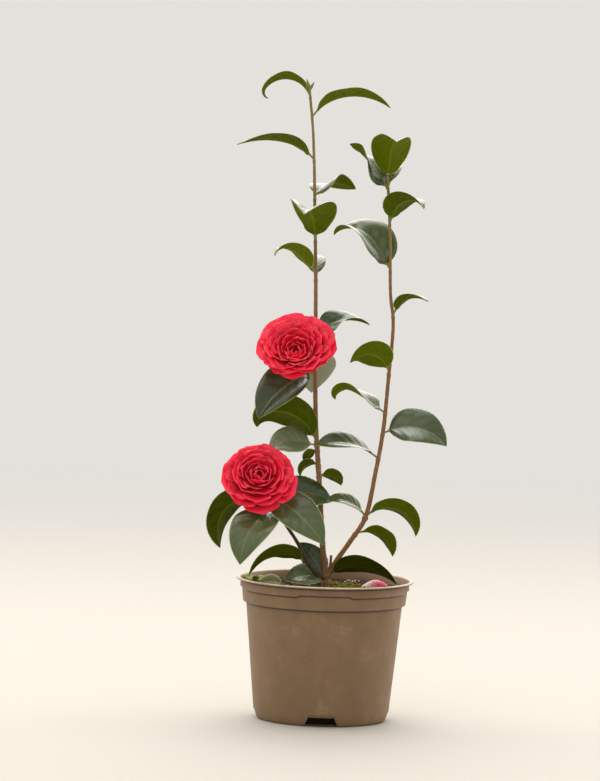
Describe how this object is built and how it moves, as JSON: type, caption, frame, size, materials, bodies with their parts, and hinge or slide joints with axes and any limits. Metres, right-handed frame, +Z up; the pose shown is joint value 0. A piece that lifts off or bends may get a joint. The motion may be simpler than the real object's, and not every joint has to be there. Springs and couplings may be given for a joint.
{
  "type": "potted camellia shrub",
  "caption": "Young potted camellia with two slender upright stems, glossy arching evergreen leaves and open double red blooms, in a tapered nursery pot.",
  "frame": {"origin": "middle of the pot's flat base, on the ground", "axes": "+Z up, +X to the right seen from the side the blooms face, +Y away from that side"},
  "size_m": [0.2549, 0.19, 0.6919],
  "materials": {
    "bark": "matt young bark, olive above and brown below",
    "foliage": "leathery leaf, glossy above and paler below",
    "petals": "soft satin petal",
    "pot_plastic": "matt moulded plastic with light scuffs",
    "compost": "rough bark compost with moss",
    "faded_petal": "faded petal"
  },
  "bodies": {
    "root": {"main_stem": "bark", "right_stem": "bark", "flower_stem": "bark", "left_shoot": "foliage", "right_shoot": "foliage", "upper_bloom": "petals", "lower_bloom": "petals", "main_stem_leaf_1": "foliage", "main_stem_leaf_2": "foliage", "main_stem_leaf_3": "foliage", "main_stem_leaf_4": "foliage", "main_stem_leaf_5": "foliage", "main_stem_leaf_6": "foliage", "main_stem_leaf_7": "foliage", "main_stem_leaf_8": "foliage", "main_stem_leaf_9": "foliage", "main_stem_leaf_10": "foliage", "right_stem_leaf_1": "foliage", "right_stem_leaf_2": "foliage", "right_stem_leaf_3": "foliage", "right_stem_leaf_4": "foliage", "right_stem_leaf_5": "foliage", "right_stem_leaf_6": "foliage", "right_stem_leaf_7": "foliage", "flower_stem_leaf_1": "foliage", "flower_stem_leaf_2": "foliage", "flower_stem_leaf_3": "foliage", "flower_stem_leaf_4": "foliage", "flower_stem_leaf_5": "foliage", "pot": "pot_plastic", "compost": "compost", "fallen_petal": "faded_petal"}
  },
  "joints": []
}
